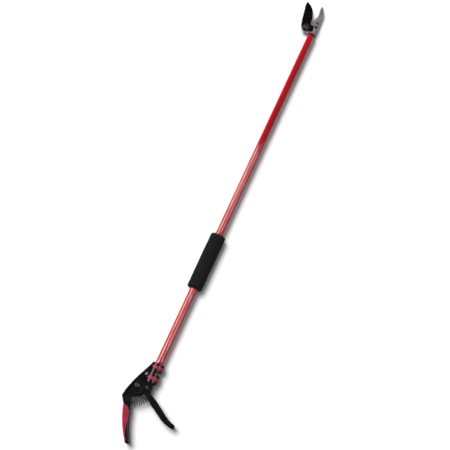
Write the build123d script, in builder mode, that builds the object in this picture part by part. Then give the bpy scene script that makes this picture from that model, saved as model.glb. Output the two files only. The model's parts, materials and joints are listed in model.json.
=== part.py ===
from build123d import *
import math
import os

# A long-reach bypass pruner: a fixed tube with a hooked shear at its head and a squeeze handle
# at its foot, joined by a pull rod inside the tube.
# Working frame: the tube's axis is Y, its foot is at y = 0, its head end is towards +Y, and the
# shear and the handle lie flat in the XY plane. Lengths are millimetres, angles are degrees.

# ---- Tube and foam ----
TUBE_OD = 19.0
TUBE_WALL = 1.0
TUBE_LENGTH = 1007.5
FOAM_OD = 38.2
FOAM_LENGTH = 146.0
FOAM_START = 244.5
FOAM_RIM = 4.0

# ---- Pull rod and its guides ----
ROD_D = 6.0
RUNNING = 0.05           # radial clearance of a shaft that turns or slides
GUIDE_LENGTH = 12.0
GUIDE_COUNT = 3
EYE_THICKNESS = 4.0
EYE_R = 6.5
EYE_SHANK_W = 9.0
BARREL_D = 12.0
BARREL_LENGTH = 16.0
BARREL_ABOVE_PIN = 15.0  # from the pin to the barrel's lower face
JAM_NUT_ACROSS = 10.0
JAM_NUT_T = 4.0
PIN_D = 5.0
PIN_HEAD_D = 8.4
PIN_HEAD_T = 1.6
BUSH_LENGTH = 9.0
BUSH_FLANGE = 1.2

# ---- Mechanism: both cranks push the rod on the tube's axis ----
LEVER_PIVOT = (-24.0, -17.0)
BLADE_PIVOT_X = -23.5
BLADE_PIVOT_RISE = 21.0  # above the tube's head end
REST_ANGLE = 10.0        # crank above square at rest
LEVER_TRAVEL = 32.0
SLOT_PLAY = 0.5          # each side of a pin in its slot
SLOT_END = 0.4           # past the pin's last place in its slot
BODY_GAP = 0.4           # between pieces that move past each other
PIVOT_D = 8.0

# ---- Handle casting ----
COLLAR_R = 15.5
LOWER_RING = (0.0, 22.0)
UPPER_RING = (28.5, 47.5)
PLATE_HALF = 10.0
RIM_HALF = 12.5
RIM_W = 3.8
CHEEK_R = 20.5
POCKET_HALF = 7.5
POCKET_R = 12.4
CAST_EDGE = 1.2
SPINE_TOP_INSET = 2.6    # the spine's upper corner, inside the collar's outline
GRIP_HALF = 10.0
GRIP_EDGE = 4.0
TONGUE_HALF = 5.5
TONGUE_INSET = 4.5

# ---- Red trim ----
LOWER_BAND = (7.2, 15.4)
UPPER_BAND = (34.0, 41.0)
BAND_SEAT_R = 14.5
BAND_PROUD = 1.0
BAND_LEFT = -10.5
PAD_HALF = 12.0
PAD_EDGE = 3.0

# ---- Collar set screws ----
SET_SCREW_D = 4.0
SET_SCREW_Y = (18.4, 44.0)
SET_SCREW_SOCKET = 2.0

# ---- Lever ----
LOBE_HALF = 6.5
LEVER_HALF = 10.0
LEVER_EDGE = 3.5
LEVER_BOSS_R = 11.0
WIDE_FROM_R = CHEEK_R + 1.2
BUSH_WALL = 2.0
BOLT_HEAD_D = 12.0
BOLT_HEAD_T = 4.0
NUT_ACROSS = 13.0
NUT_T = 5.0

# ---- Return spring, bent about the lever pivot ----
SPRING_OD = 23.5
SPRING_WIRE = 1.7
SEAT_ANGLE = -86.0       # the casting's seat, seen from the lever pivot
LEVER_SEAT_ANGLE = -28.0
PEG_R = 6.5
PEG_LENGTH = 3.0

# ---- Shear head ----
HOOK_T = 3.0
HOOK_TOP = -3.5
BLADE_T = 3.0
BLADE_TOP = -0.4
LINK_T = 3.0
LINK_W = 12.0
LINK_SHANK_W = 7.5
LINK_ASIDE = 2.0         # the link and its pin, to the right of the tube's axis
LINK_FOOT = -2.0         # the link's lower end, from the tube's head end
ROD_TOP = 12.0           # the rod's upper end, from the tube's head end
LAP_START = -6.0         # where the rod's lap for the link begins
RIVET_D = 2.5
RIVET_HEAD_D = 4.4
RIVET_HEAD_T = 0.8
RIVET_AT = ((0.75, 2.5), (0.75, 8.5))
TANG_LENGTH = 32.0
PLUG_LENGTH = 36.0
PLUG_RECESS = 1.5        # the plug's top, inside the tube's head end
END_RING_R = TUBE_OD / 2 + 1.0
END_RING_SKIRT = 2.6
END_RING_LIP = 1.0
HEAD_SCREW_D = 4.0
HEAD_SCREW_HEAD_D = 7.0
HEAD_SCREW_HEAD_T = 1.8
HEAD_SCREW_AT = ((0.0, -26.0), (0.0, -12.0))
BLADE_BOSS_R = 12.4
HOOK_BOSS_R = 11.6
TAIL_UP = 7.0
TAIL_DOWN = 10.0
STOP_PIN_D = 5.0
DOME_WASHER_D = 20.0
DOME_WASHER_T = 1.2
BLADE_BOLT_HEAD_D = 14.0
BLADE_BOLT_HEAD_T = 4.0
BLADE_NUT_ACROSS = 13.0
BLADE_NUT_T = 5.0

# ---- Worked out ----
TUBE_R = TUBE_OD / 2
TUBE_IR = TUBE_R - TUBE_WALL
ROD_R = ROD_D / 2
PIN_R = PIN_D / 2
PIVOT_R = PIVOT_D / 2
LEVER_ARM = -LEVER_PIVOT[0]
AXIS_X = -BLADE_PIVOT_X  # the tube's axis seen from the blade pivot
BLADE_ARM = AXIS_X + LINK_ASIDE
BLADE_PIVOT = (BLADE_PIVOT_X, TUBE_LENGTH + BLADE_PIVOT_RISE)
FOOT_PIN_Y = LEVER_PIVOT[1] + LEVER_ARM * math.tan(math.radians(REST_ANGLE))
HEAD_PIN_Y = BLADE_PIVOT[1] + BLADE_ARM * math.tan(math.radians(REST_ANGLE))
LEVER_END_ANGLE = LEVER_TRAVEL - REST_ANGLE
ROD_TRAVEL = LEVER_ARM * (math.tan(math.radians(REST_ANGLE)) + math.tan(math.radians(LEVER_END_ANGLE)))
BLADE_END_ANGLE = math.degrees(
    math.atan(ROD_TRAVEL / BLADE_ARM - math.tan(math.radians(REST_ANGLE)))
)
BLADE_TRAVEL = REST_ANGLE + BLADE_END_ANGLE
LEVER_SLOT_R = (LEVER_ARM, LEVER_ARM / math.cos(math.radians(LEVER_END_ANGLE)))
BLADE_SLOT_R = (BLADE_ARM, BLADE_ARM / math.cos(math.radians(BLADE_END_ANGLE)))
BARREL_Y = FOOT_PIN_Y + BARREL_ABOVE_PIN
HOOK_BOTTOM = HOOK_TOP - HOOK_T
BLADE_BOTTOM = BLADE_TOP - BLADE_T
TANG_W = 2 * ((TUBE_IR**2 - HOOK_BOTTOM**2) ** 0.5 - BODY_GAP)  # as wide as the bore allows
COLLAR_TOP = UPPER_RING[1]
SPRING_R = SPRING_OD / 2
SPRING_MEAN_R = CHEEK_R + BODY_GAP + SPRING_R  # the coils just clear the cheeks
SLOT_W = PIN_D + 2 * SLOT_PLAY


def level(z, at=(0, 0)):
    """A plane parallel to the tool's flat side, at height z, with its origin at the point `at`."""
    return Plane(origin=(at[0], at[1], z))


def across(y):
    """A plane square to the tube at y, facing the head."""
    return Plane(origin=(0, y, 0), x_dir=(1, 0, 0), z_dir=(0, 1, 0))


def turned(z, at, angle):
    """A level plane whose x axis is turned by `angle` about the point `at`."""
    heading = math.radians(angle)
    return Plane(origin=(at[0], at[1], z), x_dir=(math.cos(heading), math.sin(heading), 0), z_dir=(0, 0, 1))


# The patterns of the head's screws and the link's rivets, drawn from the tube's head end.
with BuildSketch() as screw_holes:
    with Locations(*HEAD_SCREW_AT):
        Circle(HEAD_SCREW_D / 2)

with BuildSketch() as rivet_holes:
    with Locations(*RIVET_AT):
        Circle(RIVET_D / 2)

# ---- Tube, foam and what is inside the tube ----
with BuildPart() as pole_tube:
    with BuildSketch(across(0)):
        Circle(TUBE_R)
        Circle(TUBE_IR, mode=Mode.SUBTRACT)
    extrude(amount=TUBE_LENGTH)
    with BuildSketch(level(-TUBE_R - BODY_GAP, (0, TUBE_LENGTH))):
        add(screw_holes.sketch)
    extrude(amount=TUBE_R, mode=Mode.SUBTRACT)

with BuildPart() as foam_grip:
    with BuildSketch(across(FOAM_START)):
        Circle(FOAM_OD / 2)
    extrude(amount=FOAM_LENGTH)
    fillet(foam_grip.edges().filter_by(GeomType.CIRCLE), radius=FOAM_RIM)
    with BuildSketch(across(FOAM_START)):
        Circle(TUBE_R)
    extrude(amount=FOAM_LENGTH, mode=Mode.SUBTRACT)

with BuildPart() as rod_guides:
    spacing = TUBE_LENGTH / (GUIDE_COUNT + 1)
    for number in range(1, GUIDE_COUNT + 1):
        with BuildSketch(across(number * spacing - GUIDE_LENGTH / 2)):
            Circle(TUBE_IR)
            Circle(ROD_R + RUNNING, mode=Mode.SUBTRACT)
        extrude(amount=GUIDE_LENGTH)

with BuildPart() as tube_foot_bush:
    with BuildSketch(across(0)):
        Circle(TUBE_IR)
    extrude(amount=BUSH_LENGTH)
    with BuildSketch(across(-BUSH_FLANGE)):
        Circle(TUBE_R)
    extrude(amount=BUSH_FLANGE)
    with BuildSketch(across(-BUSH_FLANGE)):
        Circle(BARREL_D / 2 + RUNNING)
    extrude(amount=BUSH_FLANGE + BUSH_LENGTH, mode=Mode.SUBTRACT)

with BuildPart() as pull_rod:
    rod_foot = BARREL_Y + BARREL_LENGTH / 2
    with BuildSketch(across(rod_foot)):
        Circle(ROD_R)
    extrude(amount=TUBE_LENGTH + ROD_TOP - rod_foot)
    with BuildSketch(level(0, (0, TUBE_LENGTH + (LAP_START + ROD_TOP) / 2))):
        Rectangle(ROD_D, ROD_TOP - LAP_START)
    extrude(amount=ROD_R, mode=Mode.SUBTRACT)
    with BuildSketch(level(-ROD_R, (0, TUBE_LENGTH))):
        add(rivet_holes.sketch)
    extrude(amount=ROD_R, mode=Mode.SUBTRACT)

with BuildPart() as rod_foot_eye:
    with BuildSketch(level(-EYE_THICKNESS / 2, (0, FOOT_PIN_Y))):
        Circle(EYE_R)
        with Locations((0, BARREL_ABOVE_PIN / 2)):
            Rectangle(EYE_SHANK_W, BARREL_ABOVE_PIN)
        Circle(PIN_R, mode=Mode.SUBTRACT)
    extrude(amount=EYE_THICKNESS)
    with BuildSketch(across(BARREL_Y)):
        Circle(BARREL_D / 2)
    extrude(amount=BARREL_LENGTH)
    with BuildSketch(across(rod_foot)):
        Circle(ROD_R)
    extrude(amount=BARREL_LENGTH, mode=Mode.SUBTRACT)

with BuildPart() as rod_jam_nut:
    with BuildSketch(across(BARREL_Y + BARREL_LENGTH)):
        RegularPolygon(JAM_NUT_ACROSS / 2, 6, major_radius=False)
        Circle(ROD_R, mode=Mode.SUBTRACT)
    extrude(amount=JAM_NUT_T)

with BuildPart() as rod_foot_pin:
    pin_half = LEVER_HALF + BODY_GAP
    with BuildSketch(level(-pin_half, (0, FOOT_PIN_Y))):
        Circle(PIN_R)
    extrude(amount=2 * pin_half)
    for low in (pin_half, -pin_half - PIN_HEAD_T):
        with BuildSketch(level(low, (0, FOOT_PIN_Y))):
            Circle(PIN_HEAD_D / 2)
        extrude(amount=PIN_HEAD_T)
    outer_rims = rod_foot_pin.faces().filter_by(Axis.Z).sort_by(Axis.Z)
    fillet(outer_rims[0].edges() + outer_rims[-1].edges(), radius=PIN_HEAD_T / 2)

# ---- Head end of the tube ----
with BuildPart() as head_plug:
    with BuildSketch(across(TUBE_LENGTH - PLUG_LENGTH)):
        Circle(TUBE_IR)
    extrude(amount=PLUG_LENGTH - PLUG_RECESS)
    channel_left = -ROD_R - BODY_GAP
    channel_right = LINK_ASIDE + LINK_SHANK_W / 2 + BODY_GAP
    with BuildSketch(level(-ROD_R - RUNNING, (0, TUBE_LENGTH - PLUG_LENGTH / 2))):
        with Locations(((channel_left + channel_right) / 2, 0)):
            Rectangle(channel_right - channel_left, PLUG_LENGTH)
    extrude(amount=TUBE_OD, mode=Mode.SUBTRACT)
    with BuildSketch(level(HOOK_BOTTOM, (0, TUBE_LENGTH - TANG_LENGTH / 2))):
        Rectangle(TANG_W, TANG_LENGTH)
    extrude(amount=HOOK_T, mode=Mode.SUBTRACT)
    with BuildSketch(level(-TUBE_R, (0, TUBE_LENGTH))):
        add(screw_holes.sketch)
    extrude(amount=TUBE_R + HOOK_TOP, mode=Mode.SUBTRACT)

with BuildPart() as head_screws:
    with BuildSketch(level(-TUBE_R, (0, TUBE_LENGTH))):
        add(screw_holes.sketch)
    extrude(amount=TUBE_R + HOOK_TOP)
    with BuildSketch(level(-TUBE_R - HEAD_SCREW_HEAD_T, (0, TUBE_LENGTH))):
        with Locations(*HEAD_SCREW_AT):
            Circle(HEAD_SCREW_HEAD_D / 2)
    extrude(amount=HEAD_SCREW_HEAD_T + TUBE_WALL)
    with BuildSketch(across(TUBE_LENGTH - TANG_LENGTH)):
        Circle(TUBE_R)
    extrude(amount=TANG_LENGTH, mode=Mode.SUBTRACT)
    with BuildSketch(level(-TUBE_R, (0, TUBE_LENGTH))):
        add(screw_holes.sketch)
    extrude(amount=TUBE_R + HOOK_TOP)

with BuildPart() as tube_end_ring:
    with BuildSketch(across(TUBE_LENGTH - END_RING_SKIRT)):
        Circle(END_RING_R)
    extrude(amount=END_RING_SKIRT + END_RING_LIP)
    with BuildSketch(across(TUBE_LENGTH - END_RING_SKIRT)):
        Circle(TUBE_R)
    extrude(amount=END_RING_SKIRT, mode=Mode.SUBTRACT)
    with BuildSketch(across(TUBE_LENGTH)):
        Circle(TUBE_IR)
    extrude(amount=END_RING_LIP, mode=Mode.SUBTRACT)

with BuildPart() as rod_head_link:
    link_foot = TUBE_LENGTH + LINK_FOOT
    link_length = HEAD_PIN_Y - link_foot
    with BuildSketch(level(0, (LINK_ASIDE, HEAD_PIN_Y))):
        Circle(LINK_W / 2)
        with Locations((0, -link_length / 2)):
            Rectangle(LINK_SHANK_W, link_length)
        Circle(PIN_R, mode=Mode.SUBTRACT)
    extrude(amount=LINK_T)
    with BuildSketch(level(0, (0, TUBE_LENGTH))):
        add(rivet_holes.sketch)
    extrude(amount=LINK_T, mode=Mode.SUBTRACT)
    chamfer(rod_head_link.faces().sort_by(Axis.Z)[-1].outer_wire().edges(), length=CAST_EDGE / 2)

with BuildPart() as link_rivets:
    with BuildSketch(level(-ROD_R, (0, TUBE_LENGTH))):
        add(rivet_holes.sketch)
    extrude(amount=ROD_R + LINK_T)
    with BuildSketch(level(LINK_T, (0, TUBE_LENGTH))):
        with Locations(*RIVET_AT):
            Circle(RIVET_HEAD_D / 2)
    extrude(amount=RIVET_HEAD_T)
    with BuildSketch(across(TUBE_LENGTH)):
        with Locations((0, ROD_R)):
            Rectangle(TUBE_OD, 2 * ROD_R)
        Circle(ROD_R, mode=Mode.SUBTRACT)
    extrude(amount=PLUG_LENGTH, mode=Mode.SUBTRACT)

with BuildPart() as rod_head_pin:
    with BuildSketch(level(BLADE_BOTTOM, (LINK_ASIDE, HEAD_PIN_Y))):
        Circle(PIN_R)
    extrude(amount=LINK_T - BLADE_BOTTOM)
    with BuildSketch(level(LINK_T, (LINK_ASIDE, HEAD_PIN_Y))):
        Circle(PIN_HEAD_D / 2)
    extrude(amount=PIN_HEAD_T)
    fillet(rod_head_pin.faces().sort_by(Axis.Z)[-1].edges(), radius=PIN_HEAD_T / 2)

# ---- Shear ----
# Both outlines are drawn from the blade pivot: x to the side, y towards the head.
HOOK_EDGE = [(6.0, 9.5), (11.8, 28.1), (17.7, 49.4), (15.3, 71.6)]
HOOK_TIP = (17.4, 77.8)
HOOK_BACK = [(24.2, 69.6), (29.7, 49.0), (31.3, 21.0)]
HOOK_HIP = (31.0, -6.0)
SHOULDER_HALF = 8.5
BLADE_TIP = (-24.4, 74.3)
BLADE_BACK = [(-9.6, -7.6), (-13.4, -1.8), (-15.6, 5.0), (-18.6, 20.0), (-22.0, 40.0), (-25.2, 58.0), (-26.5, 66.0)]
BLADE_EDGE = [(-11.4, 65.4), (1.4, 47.3), (5.9, 28.3), (6.4, 16.5)]
BLADE_THROAT = [(8.6, 11.2), (13.5, 8.8)]
STOP_PIN_AT = (24.0, 21.5)

with BuildPart() as hook_blade:
    with BuildSketch(level(HOOK_BOTTOM, BLADE_PIVOT)):
        with BuildLine():
            Spline([*HOOK_EDGE, HOOK_TIP])
            Spline([HOOK_TIP, *HOOK_BACK])
            Polyline([
                HOOK_BACK[-1],
                HOOK_HIP,
                (AXIS_X + SHOULDER_HALF, -BLADE_PIVOT_RISE + END_RING_LIP + BODY_GAP),
                (AXIS_X - SHOULDER_HALF, -BLADE_PIVOT_RISE + END_RING_LIP + BODY_GAP),
                (0, -HOOK_BOSS_R),
                (0, 0),
                HOOK_EDGE[0],
            ])
        make_face()
        Circle(HOOK_BOSS_R)
    extrude(amount=HOOK_T)
    with BuildSketch(level(HOOK_BOTTOM, (0, TUBE_LENGTH))):
        with Locations((0, (END_RING_LIP + BODY_GAP - TANG_LENGTH) / 2)):
            Rectangle(TANG_W, END_RING_LIP + BODY_GAP + TANG_LENGTH)
    extrude(amount=HOOK_T)
    with BuildSketch(level(HOOK_BOTTOM, BLADE_PIVOT)):
        Circle(PIVOT_R)
        with Locations(STOP_PIN_AT):
            Circle(STOP_PIN_D / 2)
    extrude(amount=HOOK_T, mode=Mode.SUBTRACT)
    with BuildSketch(level(HOOK_BOTTOM, (0, TUBE_LENGTH))):
        add(screw_holes.sketch)
    extrude(amount=HOOK_T, mode=Mode.SUBTRACT)

with BuildPart() as blade_stop_pin:
    with BuildSketch(level(HOOK_BOTTOM, BLADE_PIVOT)):
        with Locations(STOP_PIN_AT):
            Circle(STOP_PIN_D / 2)
    extrude(amount=BLADE_TOP - HOOK_BOTTOM)
    fillet(blade_stop_pin.faces().sort_by(Axis.Z)[-1].edges(), radius=CAST_EDGE / 2)

with BuildPart() as cutting_blade:
    with BuildSketch(level(BLADE_BOTTOM, BLADE_PIVOT)):
        with BuildLine():
            Spline([*BLADE_BACK, BLADE_TIP])
            Spline([BLADE_TIP, *BLADE_EDGE])
            Polyline([BLADE_EDGE[-1], *BLADE_THROAT, (0, 0), BLADE_BACK[0]])
        make_face()
        Circle(BLADE_BOSS_R)
    extrude(amount=BLADE_T)
    tail_length = BLADE_SLOT_R[1] + SLOT_END + PIN_R
    with BuildSketch(turned(BLADE_BOTTOM, BLADE_PIVOT, REST_ANGLE)):
        with Locations((tail_length / 2, (TAIL_UP - TAIL_DOWN) / 2)):
            Rectangle(tail_length, TAIL_UP + TAIL_DOWN)
    extrude(amount=BLADE_T)
    with BuildSketch(turned(BLADE_BOTTOM, BLADE_PIVOT, REST_ANGLE)):
        Circle(PIVOT_R + RUNNING)
        slot_start = BLADE_SLOT_R[0] - SLOT_END
        with Locations((slot_start, 0)):
            Circle(SLOT_W / 2)
        with Locations((slot_start + tail_length / 2, 0)):
            Rectangle(tail_length, SLOT_W)
    extrude(amount=BLADE_T, mode=Mode.SUBTRACT)

with BuildPart() as blade_washer:
    with BuildSketch(level(BLADE_TOP + RUNNING, BLADE_PIVOT)):
        Circle(DOME_WASHER_D / 2)
        Circle(PIVOT_R, mode=Mode.SUBTRACT)
    extrude(amount=DOME_WASHER_T)
    fillet(blade_washer.faces().sort_by(Axis.Z)[-1].outer_wire().edges(), radius=DOME_WASHER_T * 0.8)

with BuildPart() as blade_bolt:
    with BuildSketch(level(HOOK_BOTTOM - BLADE_NUT_T, BLADE_PIVOT)):
        Circle(PIVOT_R)
    extrude(amount=BLADE_TOP + RUNNING + DOME_WASHER_T - HOOK_BOTTOM + BLADE_NUT_T)
    with BuildSketch(level(BLADE_TOP + RUNNING + DOME_WASHER_T, BLADE_PIVOT)):
        Circle(BLADE_BOLT_HEAD_D / 2)
    extrude(amount=BLADE_BOLT_HEAD_T)
    fillet(blade_bolt.faces().sort_by(Axis.Z)[-1].edges(), radius=BLADE_BOLT_HEAD_T * 0.8)

with BuildPart() as blade_nut:
    with BuildSketch(level(HOOK_BOTTOM - BLADE_NUT_T, BLADE_PIVOT)):
        RegularPolygon(BLADE_NUT_ACROSS / 2, 6, major_radius=False)
        Circle(PIVOT_R, mode=Mode.SUBTRACT)
    extrude(amount=BLADE_NUT_T)

# ---- Handle casting ----
# The casting is drawn from the lever pivot. The heel is the corner of its back; below it the
# grip curves away to the tip.
HEEL = (-22.4, -33.0)
HEEL_FOOT = (-19.3, -37.2)
SPINE = [(2.4, 42.9), (-7.2, 21.5), (-15.2, -0.6), (-21.0, -22.2)]
GRIP_BACK = [(-11.6, -48.2), (-1.9, -74.5), (14.4, -104.4), (26.2, -120.9)]
GRIP_TIP = (33.3, -125.8)
GRIP_FRONT = [(39.6, -120.8), (33.7, -111.0), (17.4, -78.6), (9.7, -51.9)]
PAD_FRONT = [(31.2, -120.0), (15.2, -83.4), (8.6, -60.9), (-1.0, -50.2)]
TONGUE_FRONT = [(24.0, -98.0), (10.0, -62.0), (2.0, -47.0)]
WINDOW = [(8.4, 43.5), (10.2, 31.5), (-0.1, 29.0)]
WINDOW_CORNER = 1.2
FOOT_RISE = -LEVER_PIVOT[1]
collar_left = (LEVER_ARM - COLLAR_R + SPINE_TOP_INSET, COLLAR_TOP + FOOT_RISE)
spring_low = SPRING_MEAN_R + SPRING_R + BODY_GAP
spring_high = SPRING_MEAN_R - SPRING_R - BODY_GAP


def polar(radius, angle):
    """The point at a distance and an angle from the lever pivot."""
    heading = math.radians(angle)
    return (radius * math.cos(heading), radius * math.sin(heading))


def spring_seat(angle, side):
    """A plane on the spring's centre line at `angle`, facing along the bend (side 1 or -1)."""
    heading = math.radians(angle)
    x, y = polar(SPRING_MEAN_R, angle)
    return Plane(
        origin=(LEVER_PIVOT[0] + x, LEVER_PIVOT[1] + y, 0),
        x_dir=(0, 0, 1),
        z_dir=(-side * math.sin(heading), side * math.cos(heading), 0),
    )


with BuildSketch() as grip_outline:
    with BuildLine():
        Spline(GRIP_BACK)
        ThreePointArc(GRIP_BACK[-1], GRIP_TIP, GRIP_FRONT[0])
        Spline(GRIP_FRONT)
        Polyline([GRIP_FRONT[-1], polar(spring_low, SEAT_ANGLE), HEEL_FOOT, GRIP_BACK[0]])
    make_face()

with BuildSketch() as tongue_outline:
    with BuildLine():
        tongue_back = [(x + TONGUE_INSET, y) for x, y in GRIP_BACK[:-1]]
        Spline(tongue_back)
        Polyline([tongue_back[-1], *TONGUE_FRONT, tongue_back[0]])
    make_face()

with BuildSketch() as pad_outline:
    with BuildLine():
        Spline(GRIP_BACK)
        Line(GRIP_BACK[-1], PAD_FRONT[0])
        Spline(PAD_FRONT)
        Line(PAD_FRONT[-1], GRIP_BACK[0])
    make_face()

# The plate of the casting: the spine down to the heel, the web to the tube, the spring seat and
# the cheeks, with a raised rim along its back.
with BuildPart() as handle_plate:
    with BuildSketch(level(-RIM_HALF, LEVER_PIVOT)):
        with BuildLine():
            Spline([collar_left, *SPINE, HEEL])
            Polyline([
                HEEL,
                HEEL_FOOT,
                polar(spring_low, SEAT_ANGLE),
                polar(spring_high, SEAT_ANGLE),
                (0, 0),
                (CHEEK_R / 2, FOOT_RISE),
                (LEVER_ARM, FOOT_RISE),
                (LEVER_ARM, FOOT_RISE + COLLAR_TOP),
                collar_left,
            ])
        make_face()
        Circle(CHEEK_R)
        with BuildLine():
            Spline([collar_left, *SPINE, HEEL])
            Polyline([
                HEEL,
                (HEEL[0] - CHEEK_R, HEEL[1]),
                (HEEL[0] - CHEEK_R, collar_left[1]),
                collar_left,
            ])
        make_face(mode=Mode.SUBTRACT)
    extrude(amount=2 * RIM_HALF)
    fillet(handle_plate.edges().filter_by(GeomType.BSPLINE), radius=CAST_EDGE)
    for low in (PLATE_HALF, -RIM_HALF):
        with BuildSketch(level(low, LEVER_PIVOT)):
            with BuildLine():
                inside = [(x + RIM_W, y) for x, y in (collar_left, *SPINE, HEEL)]
                Spline(inside)
                Polyline([
                    inside[-1],
                    (HEEL_FOOT[0] + RIM_W, HEEL_FOOT[1] + RIM_W / 2),
                    (HEEL_FOOT[0] + RIM_W, -2 * CHEEK_R),
                    (2 * LEVER_ARM, -2 * CHEEK_R),
                    (2 * LEVER_ARM, FOOT_RISE + COLLAR_TOP),
                    inside[0],
                ])
            make_face()
        extrude(amount=RIM_HALF - PLATE_HALF, mode=Mode.SUBTRACT)

with BuildPart() as handle_body:
    # Two rings clamp the tube, and a half shell joins them on the left.
    for low, high in (LOWER_RING, UPPER_RING):
        with BuildSketch(across(low)):
            Circle(COLLAR_R)
        extrude(amount=high - low)
    fillet(handle_body.edges().filter_by(GeomType.CIRCLE), radius=CAST_EDGE)
    with BuildSketch(across(LOWER_RING[1] / 2)):
        Circle(COLLAR_R)
        with Locations((COLLAR_R, 0)):
            Rectangle(2 * COLLAR_R, 2 * COLLAR_R, mode=Mode.SUBTRACT)
    extrude(amount=(sum(UPPER_RING) - LOWER_RING[1]) / 2)
    # The grip, rounded where the fingers close on it, with a tongue that carries the pad.
    with BuildSketch(level(-GRIP_HALF, LEVER_PIVOT)):
        add(grip_outline.sketch)
    extrude(amount=2 * GRIP_HALF)
    fillet(handle_body.edges().filter_by(GeomType.BSPLINE).group_by(Axis.X)[-1], radius=GRIP_EDGE)
    with BuildSketch(level(-GRIP_HALF, LEVER_PIVOT)):
        add(pad_outline.sketch)
    extrude(amount=2 * GRIP_HALF, mode=Mode.SUBTRACT)
    with BuildSketch(level(-TONGUE_HALF, LEVER_PIVOT)):
        add(tongue_outline.sketch)
    extrude(amount=2 * TONGUE_HALF)
    add(handle_plate.part)
    with BuildSketch(spring_seat(SEAT_ANGLE, 1)):
        Circle(PEG_R)
    extrude(amount=PEG_LENGTH)
    # The pocket that the lever's root turns in.
    with BuildSketch(level(-POCKET_HALF, LEVER_PIVOT)):
        Circle(POCKET_R)
        with BuildLine():
            Polyline([
                (0, POCKET_R),
                (CHEEK_R / 2, FOOT_RISE),
                (2 * CHEEK_R, FOOT_RISE),
                (2 * CHEEK_R, -CHEEK_R),
                polar(2 * CHEEK_R, SEAT_ANGLE + 20),
                (0, -POCKET_R),
            ], close=True)
        make_face()
    extrude(amount=2 * POCKET_HALF, mode=Mode.SUBTRACT)
    # The window between the spine and the tube, the tube's bore, the pivot hole.
    with BuildSketch(level(-RIM_HALF, LEVER_PIVOT)):
        with BuildLine():
            Polyline(WINDOW, close=True)
        make_face()
        fillet(vertices(), radius=WINDOW_CORNER)
        Circle(PIVOT_R)
    extrude(amount=2 * RIM_HALF, mode=Mode.SUBTRACT)
    with BuildSketch(across(-BUSH_FLANGE)):
        Circle(TUBE_R)
    extrude(amount=BUSH_FLANGE + COLLAR_TOP, mode=Mode.SUBTRACT)
    # Seats for the red bands and the set screws.
    for low, high in (LOWER_BAND, UPPER_BAND):
        with BuildSketch(across(low)):
            Circle(COLLAR_R + BAND_PROUD)
            Circle(BAND_SEAT_R, mode=Mode.SUBTRACT)
            with Locations((BAND_LEFT - COLLAR_R, 0)):
                Rectangle(2 * COLLAR_R, 4 * COLLAR_R, mode=Mode.SUBTRACT)
        extrude(amount=high - low, mode=Mode.SUBTRACT)
    with BuildSketch(level(-COLLAR_R)):
        with Locations(*[(0, y) for y in SET_SCREW_Y]):
            Circle(SET_SCREW_D / 2)
    extrude(amount=COLLAR_R, mode=Mode.SUBTRACT)

with BuildPart() as collar_screws:
    with BuildSketch(level(-COLLAR_R + CAST_EDGE)):
        with Locations(*[(0, y) for y in SET_SCREW_Y]):
            Circle(SET_SCREW_D / 2)
    extrude(amount=COLLAR_R)
    with BuildSketch(level(-COLLAR_R)):
        with Locations(*[(0, y) for y in SET_SCREW_Y]):
            RegularPolygon(SET_SCREW_SOCKET / 2, 6, major_radius=False)
    extrude(amount=2 * CAST_EDGE + SET_SCREW_SOCKET, mode=Mode.SUBTRACT)
    with BuildSketch(across(0)):
        Circle(TUBE_R)
    extrude(amount=COLLAR_TOP, mode=Mode.SUBTRACT)

bands = {}
for name, (low, high) in {"collar_band_lower": LOWER_BAND, "collar_band_upper": UPPER_BAND}.items():
    with BuildPart() as band:
        with BuildSketch(across(low)):
            Circle(COLLAR_R + BAND_PROUD)
            Circle(BAND_SEAT_R, mode=Mode.SUBTRACT)
            with Locations((BAND_LEFT - COLLAR_R, 0)):
                Rectangle(2 * COLLAR_R, 4 * COLLAR_R, mode=Mode.SUBTRACT)
        extrude(amount=high - low)
        outer_rims = band.edges().filter_by(GeomType.CIRCLE).group_by(SortBy.RADIUS)[-1]
        fillet(outer_rims, radius=BAND_PROUD * 0.8)
    bands[name] = band

with BuildPart() as grip_pad:
    with BuildSketch(level(-PAD_HALF, LEVER_PIVOT)):
        add(pad_outline.sketch)
    extrude(amount=2 * PAD_HALF)
    fillet(grip_pad.edges().filter_by(GeomType.BSPLINE).group_by(Axis.X)[0], radius=PAD_EDGE)
    with BuildSketch(level(-TONGUE_HALF, LEVER_PIVOT)):
        add(tongue_outline.sketch)
    extrude(amount=2 * TONGUE_HALF, mode=Mode.SUBTRACT)

# ---- Lever ----
# Drawn from its pivot at rest: the root between the cheeks, the lobe that holds the rod's pin,
# and the handle.
LOBE_TOP = FOOT_RISE - BUSH_FLANGE - BODY_GAP
LOBE_RIGHT = 34.4
LOBE_CORNER = 6.0
LEVER_TOP = [(38.1, -6.2), (59.1, -16.3), (82.7, -31.5), (98.8, -41.0), (111.0, -45.6)]
LEVER_TIP = (117.0, -51.0)
LEVER_UNDER = [(113.8, -56.5), (101.1, -54.6), (89.8, -51.5), (68.9, -40.2), (49.6, -29.3)]
EYE_SLOT = (9.5, 32.5, -6.0)
EYE_SLOT_HALF = EYE_THICKNESS / 2 + BODY_GAP

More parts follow.
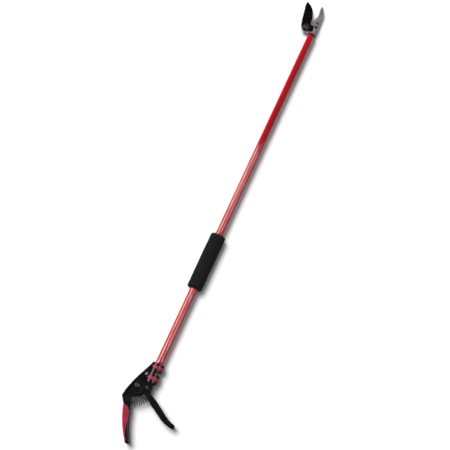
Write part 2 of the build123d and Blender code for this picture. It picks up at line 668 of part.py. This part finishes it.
with BuildSketch() as lever_outline:
    with BuildLine():
        Polyline([(0, LEVER_BOSS_R), (CHEEK_R, LOBE_TOP), (LOBE_RIGHT - LOBE_CORNER, LOBE_TOP)])
        RadiusArc((LOBE_RIGHT - LOBE_CORNER, LOBE_TOP), (LOBE_RIGHT, LOBE_TOP - LOBE_CORNER), LOBE_CORNER)
        Line((LOBE_RIGHT, LOBE_TOP - LOBE_CORNER), (LOBE_RIGHT, LEVER_TOP[0][1] + LOBE_CORNER / 2))
        Line((LOBE_RIGHT, LEVER_TOP[0][1] + LOBE_CORNER / 2), LEVER_TOP[0])
        Spline(LEVER_TOP)
        ThreePointArc(LEVER_TOP[-1], LEVER_TIP, LEVER_UNDER[0])
        Spline(LEVER_UNDER)
        Polyline([
            LEVER_UNDER[-1],
            polar(spring_low, LEVER_SEAT_ANGLE),
            polar(LEVER_BOSS_R, LEVER_SEAT_ANGLE),
            (0, 0),
            (0, LEVER_BOSS_R),
        ])
    make_face()

with BuildPart() as lever:
    with BuildSketch(level(-LEVER_HALF, LEVER_PIVOT)):
        add(lever_outline.sketch)
        Circle(WIDE_FROM_R, mode=Mode.SUBTRACT)
    extrude(amount=2 * LEVER_HALF)
    fillet(lever.edges().filter_by(GeomType.BSPLINE), radius=LEVER_EDGE)
    with BuildSketch(level(-LOBE_HALF, LEVER_PIVOT)):
        add(lever_outline.sketch)
        Circle(LEVER_BOSS_R)
        Circle(2 * WIDE_FROM_R, mode=Mode.INTERSECT)
    extrude(amount=2 * LOBE_HALF)
    with BuildSketch(spring_seat(LEVER_SEAT_ANGLE, -1)):
        Circle(PEG_R)
    extrude(amount=PEG_LENGTH)
    with BuildSketch(level(-EYE_SLOT_HALF, LEVER_PIVOT)):
        slot_left, slot_right, slot_bottom = EYE_SLOT
        with Locations(((slot_left + slot_right) / 2, (slot_bottom + FOOT_RISE) / 2)):
            Rectangle(slot_right - slot_left, FOOT_RISE - slot_bottom)
    extrude(amount=2 * EYE_SLOT_HALF, mode=Mode.SUBTRACT)
    with BuildSketch(turned(-LEVER_HALF, LEVER_PIVOT, REST_ANGLE)):
        Circle(PIVOT_R + BUSH_WALL)
        for radius in (LEVER_SLOT_R[0] - SLOT_END, LEVER_SLOT_R[1] + SLOT_END):
            with Locations((radius, 0)):
                Circle(SLOT_W / 2)
        with Locations((sum(LEVER_SLOT_R) / 2, 0)):
            Rectangle(LEVER_SLOT_R[1] - LEVER_SLOT_R[0] + 2 * SLOT_END, SLOT_W)
    extrude(amount=2 * LEVER_HALF, mode=Mode.SUBTRACT)

with BuildPart() as lever_bush:
    with BuildSketch(level(-LOBE_HALF, LEVER_PIVOT)):
        Circle(PIVOT_R + BUSH_WALL)
        Circle(PIVOT_R + RUNNING, mode=Mode.SUBTRACT)
    extrude(amount=2 * LOBE_HALF)

with BuildPart() as lever_washers:
    for low in (LOBE_HALF + 2 * RUNNING, -POCKET_HALF):
        with BuildSketch(level(low, LEVER_PIVOT)):
            Circle(LEVER_BOSS_R)
            Circle(PIVOT_R, mode=Mode.SUBTRACT)
        extrude(amount=POCKET_HALF - LOBE_HALF - 2 * RUNNING)

with BuildPart() as lever_bolt:
    with BuildSketch(level(-PLATE_HALF - NUT_T, LEVER_PIVOT)):
        Circle(PIVOT_R)
    extrude(amount=2 * PLATE_HALF + NUT_T)
    with BuildSketch(level(PLATE_HALF, LEVER_PIVOT)):
        Circle(BOLT_HEAD_D / 2)
    extrude(amount=BOLT_HEAD_T)
    fillet(lever_bolt.faces().sort_by(Axis.Z)[-1].edges(), radius=BOLT_HEAD_T * 0.7)

with BuildPart() as lever_nut:
    with BuildSketch(level(-PLATE_HALF - NUT_T, LEVER_PIVOT)):
        RegularPolygon(NUT_ACROSS / 2, 6, major_radius=False)
        Circle(PIVOT_R, mode=Mode.SUBTRACT)
    extrude(amount=NUT_T)

with BuildPart() as return_spring:
    # The outer shape of the coils: a bent tube between the two seats.
    with BuildSketch(spring_seat(SEAT_ANGLE, 1)):
        Circle(SPRING_R)
        Circle(SPRING_R - SPRING_WIRE, mode=Mode.SUBTRACT)
    revolve(
        axis=Axis((LEVER_PIVOT[0], LEVER_PIVOT[1], 0), (0, 0, 1)),
        revolution_arc=LEVER_SEAT_ANGLE - SEAT_ANGLE,
    )

# ---- Hand-over: the origin is under the middle of the whole tool ----
pieces = {
    "pole_tube": pole_tube,
    "foam_grip": foam_grip,
    "rod_guides": rod_guides,
    "tube_foot_bush": tube_foot_bush,
    "pull_rod": pull_rod,
    "rod_foot_eye": rod_foot_eye,
    "rod_jam_nut": rod_jam_nut,
    "rod_foot_pin": rod_foot_pin,
    "head_plug": head_plug,
    "head_screws": head_screws,
    "tube_end_ring": tube_end_ring,
    "rod_head_link": rod_head_link,
    "link_rivets": link_rivets,
    "rod_head_pin": rod_head_pin,
    "hook_blade": hook_blade,
    "blade_stop_pin": blade_stop_pin,
    "cutting_blade": cutting_blade,
    "blade_washer": blade_washer,
    "blade_bolt": blade_bolt,
    "blade_nut": blade_nut,
    "handle_body": handle_body,
    "collar_screws": collar_screws,
    **bands,
    "grip_pad": grip_pad,
    "lever": lever,
    "lever_bush": lever_bush,
    "lever_washers": lever_washers,
    "lever_bolt": lever_bolt,
    "lever_nut": lever_nut,
    "return_spring": return_spring,
}
boxes = [piece.part.bounding_box() for piece in pieces.values()]
low = [min(getattr(box.min, axis) for box in boxes) for axis in "XYZ"]
high = [max(getattr(box.max, axis) for box in boxes) for axis in "XYZ"]
shift = Pos(-(low[0] + high[0]) / 2, -(low[1] + high[1]) / 2, -low[2])

os.makedirs("parts", exist_ok=True)
for name, piece in pieces.items():
    placed = shift * piece.part
    placed.label = name
    export_step(placed, f"parts/{name}.step")

print("overall size", [round(b - a, 3) for a, b in zip(low, high)])
print("tube foot at", [round(value, 3) for value in shift.position])
print("lever pivot at", (shift * Pos(*LEVER_PIVOT)).position)
print("blade pivot at", (shift * Pos(*BLADE_PIVOT)).position)
print("rod travel", round(ROD_TRAVEL, 3), "blade travel", round(BLADE_TRAVEL, 3))
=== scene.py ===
# %% [markdown]
# A long-reach pruner is a shear on a pole. A red tube carries a hooked shear at its head and a
# squeeze handle at its foot, and a rod inside the tube joins the two. This lesson dresses the
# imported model: it sets the camera and the light, gives every part its finish, and replaces three
# plain shapes, the coil spring, the tube and the foam sleeve, with finer ones.

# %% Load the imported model
import bpy
import json
import math
import numpy as np
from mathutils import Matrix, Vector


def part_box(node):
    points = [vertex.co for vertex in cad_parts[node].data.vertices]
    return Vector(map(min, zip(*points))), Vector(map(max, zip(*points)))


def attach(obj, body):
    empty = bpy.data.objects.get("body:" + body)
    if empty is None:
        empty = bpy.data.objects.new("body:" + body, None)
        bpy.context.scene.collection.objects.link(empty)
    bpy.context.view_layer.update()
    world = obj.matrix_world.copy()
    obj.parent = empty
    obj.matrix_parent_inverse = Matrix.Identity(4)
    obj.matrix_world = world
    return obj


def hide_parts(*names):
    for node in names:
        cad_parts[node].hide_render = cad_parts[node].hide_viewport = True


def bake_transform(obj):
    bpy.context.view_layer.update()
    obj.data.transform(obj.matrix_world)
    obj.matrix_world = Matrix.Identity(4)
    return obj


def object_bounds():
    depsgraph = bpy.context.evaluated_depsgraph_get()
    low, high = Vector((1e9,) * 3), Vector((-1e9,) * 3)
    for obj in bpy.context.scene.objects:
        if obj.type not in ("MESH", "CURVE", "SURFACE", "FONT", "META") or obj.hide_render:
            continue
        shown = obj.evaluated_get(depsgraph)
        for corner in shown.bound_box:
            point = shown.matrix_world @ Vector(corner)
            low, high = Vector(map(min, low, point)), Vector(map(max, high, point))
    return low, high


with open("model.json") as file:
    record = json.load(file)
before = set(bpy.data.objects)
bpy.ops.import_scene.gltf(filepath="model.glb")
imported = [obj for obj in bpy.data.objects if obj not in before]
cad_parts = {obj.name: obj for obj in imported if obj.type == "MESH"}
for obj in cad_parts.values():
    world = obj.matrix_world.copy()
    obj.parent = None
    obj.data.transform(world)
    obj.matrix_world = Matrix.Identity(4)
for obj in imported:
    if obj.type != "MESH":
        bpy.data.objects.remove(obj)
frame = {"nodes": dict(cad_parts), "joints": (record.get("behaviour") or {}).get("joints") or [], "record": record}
cad_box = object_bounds()

# %% [markdown]
# Everything else is placed from a few points of the model. The tube gives the pole's axis, its
# foot and its head. The squeeze joint gives the lever's pivot. MM turns millimetres into metres.

# %% Points of the tool
MM = 0.001
tube_low, tube_high = (np.array(corner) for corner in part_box("pole_tube"))
axis_x, axis_z = (tube_low[0] + tube_high[0]) / 2, (tube_low[2] + tube_high[2]) / 2
tube_r = (tube_high[0] - tube_low[0]) / 2
foot = np.array([axis_x, tube_low[1], axis_z])
head = np.array([axis_x, tube_high[1], axis_z])
joints = {joint["name"]: joint for joint in frame["joints"]}
lever_pivot = np.array(joints["lever_squeeze"]["pos_m"])
print("tube radius mm", round(tube_r / MM, 2), "length mm", round((head - foot)[1] / MM, 1))

# %% [markdown]
# The camera looks steeply down on the tool as it lies on a white table, turned a little so that
# the pole runs across the picture's diagonal. Its place is measured from the tube's head.

# %% Camera
CAMERA_AZIMUTH = 23.6
CAMERA_ELEVATION = 70.7
CAMERA_LENS = 64.0
CAMERA_FROM_HEAD = (0.2632, -1.1807, 1.8555)


def place_camera():
    """Puts the camera at its offset from the tube's head, with the horizon level."""
    data = bpy.data.cameras.new("camera")
    data.lens = CAMERA_LENS
    camera = bpy.data.objects.new("camera", data)
    bpy.context.scene.collection.objects.link(camera)
    camera.location = head + np.array(CAMERA_FROM_HEAD)
    camera.rotation_euler = (math.radians(90 - CAMERA_ELEVATION), 0, math.radians(CAMERA_AZIMUTH))
    bpy.context.scene.camera = camera
    return camera


camera = place_camera()
print("camera at", [round(value, 3) for value in camera.location])

# %% [markdown]
# A new shape is a grid of points: an array with rows along one parameter and columns along the
# other. One helper turns any such grid into a mesh. It joins the last row or column to the first
# where the surface closes on itself, and can cap the two end rows.

# %% From a grid of points to a mesh piece


def surface(name, grid, close_rows=False, close_columns=False, caps=False):
    """A mesh from points grid[i, j]: quads between neighbours (i, j), (i+1, j), (i+1, j+1), (i, j+1)."""
    rows, columns = grid.shape[:2]
    number = np.arange(rows * columns).reshape(rows, columns)
    if close_rows:
        number = np.vstack([number, number[:1]])
    if close_columns:
        number = np.hstack([number, number[:, :1]])
    quads = np.stack([number[:-1, :-1], number[1:, :-1], number[1:, 1:], number[:-1, 1:]], axis=-1)
    faces = quads.reshape(-1, 4).tolist()
    if caps:
        faces += [number[0, :columns].tolist(), number[-1, :columns][::-1].tolist()]
    mesh = bpy.data.meshes.new(name)
    mesh.from_pydata(grid.reshape(-1, 3).tolist(), [], faces)
    mesh.update()
    return mesh


def outwards(mesh):
    """Turns the mesh inside out where its volume, the sum of its faces' pyramids, comes out negative."""
    mesh.calc_loop_triangles()
    points = np.empty(len(mesh.vertices) * 3)
    mesh.vertices.foreach_get("co", points)
    corners = np.empty(len(mesh.loop_triangles) * 3, np.int32)
    mesh.loop_triangles.foreach_get("vertices", corners)
    a, b, c = points.reshape(-1, 3)[corners.reshape(-1, 3)].transpose(1, 0, 2)
    volume = np.einsum("ij,ij->i", a, np.cross(b, c)).sum() / 6
    if volume < 0:
        mesh.flip_normals()
    return abs(volume)


def piece(name, mesh, material):
    """A smooth-shaded object at the origin with one material."""
    volume = outwards(mesh)
    made = bpy.data.objects.new(name, mesh)
    bpy.context.scene.collection.objects.link(made)
    mesh.materials.append(material)
    mesh.polygons.foreach_set("use_smooth", np.ones(len(mesh.polygons), bool))
    print(name, "faces", len(mesh.polygons), "volume cm3", round(volume * 1e6, 3))
    return made


# %% [markdown]
# A finish is a small network of shader nodes. Written out, its sums are hard to read, so one
# class wraps a socket and lets it be added, scaled and compared like a number. A second class
# holds one material and makes every other kind of node.

# %% Sums on sockets


class Signal:
    """One number carried by a socket. Sums with it add Math nodes to its finish."""

    def __init__(self, finish, socket):
        self.finish, self.socket = finish, socket

    def _sum(self, operation, first, second):
        return self.finish.node("Math", {"operation": operation}, {0: first, 1: second})[0]

    def __add__(self, other):
        return self._sum("ADD", self, other)

    __radd__ = __add__

    def __sub__(self, other):
        return self._sum("SUBTRACT", self, other)

    def __rsub__(self, other):
        return self._sum("SUBTRACT", other, self)

    def __mul__(self, other):
        return self._sum("MULTIPLY", self, other)

    __rmul__ = __mul__

    def between(self, low, high):
        """0 at low, 1 at high, and straight between them."""
        sockets = {"Value": self, "From Min": low, "From Max": high, "To Min": 0.0, "To Max": 1.0}
        return self.finish.node("MapRange", {"clamp": True}, sockets)[0]


class Finish:
    """One material: a Principled shader, the point on the object, and the nodes that colour it."""

    def __init__(self, name, **shader):
        self.material = bpy.data.materials.new(name)
        self.material.use_nodes = True
        self.tree = self.material.node_tree
        self.shader = self.tree.nodes["Principled BSDF"]
        for socket, value in shader.items():
            self.shader.inputs[socket.replace("_", " ")].default_value = value
        self.place = self.node("TexCoord", {}, {}).by_name("Object")

    def node(self, kind, settings, sockets):
        """Adds a node of a kind, sets it, then gives its sockets values or links."""
        made = self.tree.nodes.new("ShaderNode" + kind)
        for name, value in settings.items():
            setattr(made, name, value)
        for name, value in sockets.items():
            self.feed(made.inputs[name], value)
        return Outputs(self, made)

    def feed(self, socket, value):
        """Links a signal to a socket, or sets the socket's own value."""
        if isinstance(value, Signal):
            self.tree.links.new(value.socket, socket)
        else:
            socket.default_value = value

    def noise(self, scale, detail=3.0, stretch=(1.0, 1.0, 1.0), roughness=0.5):
        """Cloudy noise from 0 to 1, scale features per metre, drawn out along an axis by stretch."""
        where = self.node("Mapping", {}, {"Vector": self.place, "Scale": stretch})[0]
        sockets = {"Vector": where, "Scale": scale, "Detail": detail, "Roughness": roughness}
        return self.node("TexNoise", {}, sockets)[0]

    def blend(self, amount, first, second):
        """The colour first where amount is 0 and second where it is 1."""
        sockets = {0: amount, 6: (*first, 1.0), 7: (*second, 1.0)}
        return self.node("Mix", {"data_type": "RGBA"}, sockets)[2]

    def bump(self, height, distance, strength=1.0):
        """Tilts the shading as a relief of this height would, distance being its depth in metres."""
        sockets = {"Height": height, "Distance": distance, "Strength": strength}
        self.feed(self.shader.inputs["Normal"], self.node("Bump", {}, sockets)[0])

    def colour(self, signal):
        self.feed(self.shader.inputs["Base Color"], signal)

    def roughness(self, signal):
        self.feed(self.shader.inputs["Roughness"], signal)


class Outputs:
    """A node's outputs, by number or by name."""

    def __init__(self, finish, made):
        self.finish, self.made = finish, made

    def __getitem__(self, number):
        return Signal(self.finish, self.made.outputs[number])

    def by_name(self, name):
        return Signal(self.finish, self.made.outputs[name])


# %% [markdown]
# The tube is steel with a baked gloss enamel. Such a coat is almost even: the red shifts a
# little where it is thicker, the gloss is broken by handling, and a faint orange peel shows in
# the long reflections.

# %% Red gloss enamel


def red_enamel():
    """Two close reds by slow noise, roughness by streaks along the pole, and a shallow peel."""
    finish = Finish("red_enamel", Coat_Weight=0.35, Coat_Roughness=0.03, Specular_IOR_Level=0.15)
    shade = finish.noise(9.0, detail=4.0, stretch=(3.0, 0.4, 3.0)).between(0.35, 0.65)
    finish.colour(finish.blend(shade, (0.29, 0.001, 0.006), (0.35, 0.002, 0.009)))
    rubbed = finish.noise(60.0, detail=6.0, stretch=(1.0, 0.12, 1.0)).between(0.4, 0.75)
    finish.roughness(0.06 + 0.05 * rubbed)
    finish.bump(finish.noise(450.0, detail=2.0), 0.000004, 0.35)
    return finish.material


# %% [markdown]
# The foam sleeve is closed-cell foam. Close to, it is a skin of tiny cells, a dull near-black
# with paler scuffs. Cells are a Voronoi pattern; the sheen of the skin is set on the shader.

# %% Black foam


def black_foam():
    """Cells about 0.6 mm across as relief, a slow grey bloom as colour, and an even dullness."""
    finish = Finish("black_foam", Specular_IOR_Level=0.06, Sheen_Weight=0.01, Sheen_Roughness=0.6)
    bloom = finish.noise(70.0, detail=5.0).between(0.45, 0.8)
    finish.colour(finish.blend(bloom, (0.002, 0.002, 0.0021), (0.005, 0.005, 0.0052)))
    cells = finish.node("TexVoronoi", {}, {"Vector": finish.place, "Scale": 1600.0})[0]
    finish.roughness(0.78 + 0.14 * bloom)
    finish.bump(cells.between(0.0, 0.7) + 0.6 * finish.noise(420.0, detail=3.0), 0.00022, 0.75)
    return finish.material


# %% [markdown]
# The handle and the lever are castings under a textured black enamel. The grain of the enamel
# is what catches the light, so it is relief first and colour second.

# %% Black casting enamel


def casting_enamel(name, grain, dark, pale, gloss):
    """Grain of a given size in features per metre, and a bloom from dark to pale with roughness."""
    finish = Finish(name, Specular_IOR_Level=0.11)
    bloom = finish.noise(55.0, detail=6.0, roughness=0.6).between(0.4, 0.7)
    finish.colour(finish.blend(bloom, dark, pale))
    finish.roughness(gloss + 0.10 * bloom)
    finish.bump(finish.noise(grain, detail=5.0, roughness=0.65), 0.00012, 0.6)
    return finish.material


# %% [markdown]
# The hook is ground steel, left bright, and the blade is the same steel under a slick black
# coating. Grinding leaves fine lines across the plate: noise drawn out along one axis.

# %% Ground steel and coated steel


def ground_steel(name, tone, rough, lines=(9.0, 0.5, 9.0)):
    """Grey metal whose colour and roughness follow fine parallel lines and a few dull patches."""
    finish = Finish(name, Metallic=1.0)
    line = finish.noise(900.0, detail=4.0, stretch=lines)
    patch = finish.noise(45.0, detail=5.0).between(0.4, 0.75)
    finish.colour(finish.blend(line * 0.7 + patch * 0.3, tuple(0.8 * v for v in tone), tone))
    finish.roughness(rough + 0.12 * line + 0.10 * patch)
    finish.bump(line, 0.00003, 0.5)
    return finish.material


def coated_steel():
    """A black coat whose gloss is broken by sap and rubbing, over faint grinding lines."""
    finish = Finish("coated_steel", Specular_IOR_Level=0.05, Coat_Weight=0.02, Coat_Roughness=0.12)
    rubbed = finish.noise(80.0, detail=6.0, stretch=(1.0, 0.6, 1.0)).between(0.4, 0.75)
    finish.colour(finish.blend(rubbed, (0.001, 0.001, 0.0011), (0.003, 0.003, 0.0033)))
    finish.roughness(0.22 + 0.2 * rubbed)
    finish.bump(finish.noise(900.0, detail=3.0, stretch=(1.0, 9.0, 1.0)), 0.00002, 0.4)
    return finish.material


# %% [markdown]
# The grip pad and the two bands are a red elastomer, softer and duller than the enamel. Plain
# moulded nylon, sintered bronze and spring wire finish the small parts.

# %% Elastomer, nylon, bronze and spring wire


def red_elastomer():
    """A soft red with a dusty bloom and a fine moulded grain."""
    finish = Finish("red_elastomer", Specular_IOR_Level=0.15, Sheen_Weight=0.02)
    bloom = finish.noise(60.0, detail=5.0).between(0.35, 0.75)
    finish.colour(finish.blend(bloom, (0.24, 0.004, 0.016), (0.30, 0.008, 0.026)))
    finish.roughness(0.42 + 0.16 * bloom)
    finish.bump(finish.noise(1500.0, detail=3.0), 0.00005, 0.5)
    return finish.material


def moulded_nylon():
    """Near-black plastic with flow marks in its gloss."""
    finish = Finish("moulded_nylon", Specular_IOR_Level=0.1)
    flow = finish.noise(120.0, detail=5.0).between(0.3, 0.8)
    finish.colour(finish.blend(flow, (0.003, 0.003, 0.0032), (0.006, 0.006, 0.0064)))
    finish.roughness(0.4 + 0.15 * flow)
    finish.bump(finish.noise(1800.0, detail=2.0), 0.00003, 0.4)
    return finish.material


FINISHES = {
    "red_paint": red_enamel(),
    "foam": black_foam(),
    "nylon": moulded_nylon(),
    "zinc_steel": ground_steel("zinc_plate", (0.62, 0.62, 0.58), 0.30, (1.0, 1.0, 1.0)),
    "dark_steel": ground_steel("black_oxide", (0.035, 0.035, 0.037), 0.28, (2.0, 2.0, 2.0)),
    "bright_steel": ground_steel("ground_steel", (0.31, 0.30, 0.29), 0.32),
    "cast_alloy": ground_steel("cast_alloy", (0.55, 0.55, 0.56), 0.45, (1.0, 1.0, 1.0)),
    "coated_blade": coated_steel(),
    "black_casting": casting_enamel(
        "handle_enamel", 1100.0, (0.0012, 0.0012, 0.0013), (0.004, 0.004, 0.0043), 0.24),
    "black_lever": casting_enamel(
        "lever_enamel", 900.0, (0.0008, 0.0008, 0.0009), (0.003, 0.003, 0.0032), 0.24),
    "red_rubber": red_elastomer(),
    "bronze": ground_steel("sintered_bronze", (0.62, 0.42, 0.20), 0.4, (1.0, 1.0, 1.0)),
    "spring_steel": ground_steel("spring_wire", (0.05, 0.05, 0.042), 0.44, (3.0, 3.0, 3.0)),
}
for entry in frame["record"]["subparts"]:
    node = frame["nodes"][entry["node"]]
    node.data.materials.clear()
    node.data.materials.append(FINISHES[entry["material_slot"]])

# %% [markdown]
# The return spring is a coil bent about the lever's pivot. A straight helix turned round a curved
# centre line does it: the centre line is an arc about the pivot, and the wire circles it. The end
# turns lie closed, so the pitch starts and ends slow. The wire is then a ring of points carried
# along that line.

# %% Return spring
SPRING_MEAN_R = 32.65 * MM
SPRING_SEATS = (-86.0, -28.0)
SPRING_TURNS = 8.5
WIRE_R = 0.85 * MM
CLOSED_SHARE = 0.07
STEPS_PER_TURN = 40
WIRE_SIDES = 12


def coil_line(turns, radius):
    """Points where the wire's centre goes: an arc about the lever pivot at angle a, plus radius
    times (cos w outwards, sin w upwards), where w winds evenly and a advances slowly at the ends."""
    t = np.linspace(0.0, 1.0, int(turns * STEPS_PER_TURN) + 1)
    inner = np.clip((t - CLOSED_SHARE) / (1 - 2 * CLOSED_SHARE), 0.0, 1.0)
    edge = WIRE_R / SPRING_MEAN_R
    start, end = (math.radians(angle) for angle in SPRING_SEATS)
    a = start + edge + (end - start - 2 * edge) * inner
    w = 2 * math.pi * turns * t
    reach = SPRING_MEAN_R + radius * np.cos(w)
    line = np.stack([reach * np.cos(a), reach * np.sin(a), radius * np.sin(w)], axis=1)
    return lever_pivot + line


def flat_unit(vectors):
    """Each vector flattened to the level plane and scaled to length one."""
    flat = vectors * np.array([1.0, 1.0, 0.0])
    return flat / np.linalg.norm(flat, axis=1, keepdims=True)


def unit(vectors):
    """Each vector scaled to length one."""
    return vectors / np.linalg.norm(vectors, axis=1, keepdims=True)


def wire(line, radius, sides):
    """A ring of sides points square to the line, carried along it: each ring lies on the line's
    own side and up directions, which come from its tangent and the vertical."""
    tangent = np.gradient(line, axis=0)
    tangent /= np.linalg.norm(tangent, axis=1, keepdims=True)
    centre = lever_pivot + SPRING_MEAN_R * flat_unit(line - lever_pivot)
    out = unit(line - centre)
    out -= tangent * np.einsum("ij,ij->i", out, tangent)[:, None]
    out = unit(out)
    across = np.cross(tangent, out)
    turn = np.linspace(0.0, 2 * math.pi, sides, endpoint=False)
    ring = out[:, None] * np.cos(turn)[None, :, None] + across[:, None] * np.sin(turn)[None, :, None]
    return line[:, None] + radius * ring


spring_low, spring_high = (np.array(corner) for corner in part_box("return_spring"))
coil_r = (spring_high[2] - spring_low[2]) / 2 - WIRE_R
line = coil_line(SPRING_TURNS, coil_r)
spring_mesh = surface("spring_coils", wire(line, WIRE_R, WIRE_SIDES), close_columns=True, caps=True)
spring = piece("spring_coils", spring_mesh, FINISHES["spring_steel"])
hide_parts("return_spring")
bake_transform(spring)
print("wire length mm", round(float(np.linalg.norm(np.diff(line, axis=0), axis=1).sum()) / MM))

# %% [markdown]
# The two bright lines along the enamel need a tube that is truly round, so the tube is turned
# finely here: its wall's outline, with small rounded rims, is carried round the pole's axis.

# %% Tube
TUBE_WALL = 1.0 * MM
TUBE_RIM = 0.3 * MM
TUBE_AROUND = 160


def tube_profile(length):
    """Distance along the pole and radius of the wall's outline: out across the foot, over a
    quarter-circle rim, along the outside, over the other rim, in across the head, and back."""
    quarter = np.linspace(0.0, math.pi / 2, 6)
    rim_y, rim_r = TUBE_RIM * (1 - np.cos(quarter)), tube_r - TUBE_RIM * (1 - np.sin(quarter))
    wall = np.linspace(TUBE_RIM, length - TUBE_RIM, 80)[1:-1]
    bore = np.linspace(length, 0.0, 20)
    y = np.concatenate([rim_y, wall, length - rim_y[::-1], bore])
    r = np.concatenate([rim_r, 0 * wall + tube_r, rim_r[::-1], 0 * bore + tube_r - TUBE_WALL])
    return y, r


def around_pole(y, r, around):
    """Grids of the distance y, the radius r and the even angles t about the pole."""
    t = np.linspace(0.0, 2 * math.pi, around, endpoint=False)
    yy, tt = np.meshgrid(y, t, indexing="ij")
    return yy, np.repeat(r[:, None], around, axis=1), tt


def turned(yy, rr, tt, start):
    """The point at each distance from start, radius and angle: the radius times (sin t across,
    cos t upwards)."""
    return np.stack([axis_x + rr * np.sin(tt), start + yy, axis_z + rr * np.cos(tt)], axis=-1)


tube_grid = turned(*around_pole(*tube_profile(head[1] - foot[1]), TUBE_AROUND), foot[1])
tube_mesh = surface("red_tube", tube_grid, close_rows=True, close_columns=True)
tube = piece("red_tube", tube_mesh, FINISHES["red_paint"])
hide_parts("pole_tube")
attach(tube, "pole")

# %% [markdown]
# The foam sleeve is pushed onto the tube while wet. It is a tube of foam with rounded rims, a
# little uneven where hands have pressed it. A profile round its wall, from the bore out and back,
# is turned about the pole, and a slow ripple moves the outer wall.

# %% Foam sleeve
foam_low, foam_high = (np.array(corner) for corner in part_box("foam_grip"))
FOAM_RIM = 5.0 * MM
FOAM_RIPPLE = 0.35 * MM
FOAM_BORE = tube_r + 0.05 * MM
FOAM_AROUND = 96


def foam_profile(length, outer):
    """Distance along the pole and radius of the wall's outline: bore, rounded rim, outer wall,
    rounded rim. Each rim is a quarter of a circle."""
    quarter = np.linspace(0.0, math.pi / 2, 12)
    rim_y, rim_r = FOAM_RIM * (1 - np.sin(quarter)), outer - FOAM_RIM * (1 - np.cos(quarter))
    wall = np.linspace(FOAM_RIM, length - FOAM_RIM, 60)[1:-1]
    ends = np.linspace(FOAM_BORE, outer - FOAM_RIM, 8)[:-1]
    bore = np.linspace(length, 0.0, 12)[1:-1]
    y = np.concatenate([0 * ends, rim_y[::-1], wall, length - rim_y, 0 * ends + length, bore])
    r = np.concatenate([ends, rim_r[::-1], 0 * wall + outer, rim_r, ends[::-1], 0 * bore + FOAM_BORE])
    return y, r


def foam_grid():
    """The profile turned about the pole. The outer wall is lifted by a sum of slow waves round and
    along the sleeve, faded out towards the bore."""
    length, outer = foam_high[1] - foam_low[1], (foam_high[0] - foam_low[0]) / 2
    y, r = foam_profile(length, outer - FOAM_RIPPLE)
    yy, rr, tt = around_pole(y, r, FOAM_AROUND)
    share = np.clip((rr - FOAM_BORE) / (outer - FOAM_BORE), 0, 1)
    waves = np.sin(3 * tt + 55 * yy) * np.cos(70 * yy) * 0.6 + np.sin(2 * tt - 31 * yy + 1.0) * 0.4
    rr = rr + FOAM_RIPPLE * share * waves
    return turned(yy, rr, tt, foam_low[1])


foam_mesh = surface("foam_sleeve", foam_grid(), close_rows=True, close_columns=True)
foam = piece("foam_sleeve", foam_mesh, FINISHES["foam"])
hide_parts("foam_grip")
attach(foam, "pole")

# %% [markdown]
# A plain white table under soft light. A broad key light, high on the left, gives the soft shadow
# to the right of the pole, and a dim sky fills it. The key leaves no reflection of its own: the two
# bright lines along the enamel come from two lamps as long as the pole, one on each side of it,
# that show in reflections only.

# %% Table and light
TABLE_SIZE = 8.0
KEY_FROM = (-0.425, 0.25, 1.0)
KEY_SPREAD = 33.0
KEY_STRENGTH = 3.3
SKY_STRENGTH = 0.3
STRIP_AWAY = 1.5
STRIP_FROM = -0.3
STRIP_LENGTH = 1.61
STRIPS = {"strip_left": (-44.0, 0.18, 84.0), "strip_right": (38.0, 0.10, 50.0)}


def key():
    """A sun of a wide disc, shining from a direction, seen by dull surfaces only."""
    data = bpy.data.lights.new("key", "SUN")
    data.energy, data.angle = KEY_STRENGTH, math.radians(KEY_SPREAD)
    made = bpy.data.objects.new("key", data)
    bpy.context.scene.collection.objects.link(made)
    made.rotation_mode = "QUATERNION"
    made.rotation_quaternion = Vector(KEY_FROM).to_track_quat("Z", "Y")
    made.visible_glossy = False
    return made


def strip(name, tilt, width, power):
    """A long lamp beside the pole. Seen from the pole it stands at an angle tilt from straight up,
    its long side runs along the pole, and its face looks back at the pole."""
    data = bpy.data.lights.new(name, "AREA")
    data.shape, data.size, data.size_y, data.energy = "RECTANGLE", width, STRIP_LENGTH, power
    made = bpy.data.objects.new(name, data)
    bpy.context.scene.collection.objects.link(made)
    side = math.radians(tilt)
    along = STRIP_FROM + STRIP_LENGTH / 2
    made.location = foot + np.array([STRIP_AWAY * math.sin(side), along, STRIP_AWAY * math.cos(side)])
    made.rotation_euler = (0.0, side, 0.0)
    made.visible_diffuse = False
    return made


def table():
    """A flat white sheet under the tool's lowest point."""
    half = TABLE_SIZE / 2
    grid = np.array([[[-half, -half, 0], [half, -half, 0]], [[-half, half, 0], [half, half, 0]]], float)
    grid[..., 2] = cad_box[0][2]
    made = bpy.data.objects.new("table", surface("table", grid[::-1]))
    bpy.context.scene.collection.objects.link(made)
    finish = Finish("table_white", Roughness=0.9, Specular_IOR_Level=0.0)
    speck = finish.noise(3.0)
    finish.colour(finish.blend(speck, (0.87, 0.87, 0.87), (0.89, 0.89, 0.89)))
    made.data.materials.append(finish.material)
    return made


table()
key()
for name, (tilt, width, power) in STRIPS.items():
    strip(name, tilt, width, power)
world = bpy.data.worlds.new("sky")
bpy.context.scene.world = world
world.use_nodes = True
world.node_tree.nodes["Background"].inputs["Color"].default_value = (1.0, 1.0, 1.0, 1.0)
world.node_tree.nodes["Background"].inputs["Strength"].default_value = SKY_STRENGTH
bpy.context.scene.view_settings.view_transform = "Standard"
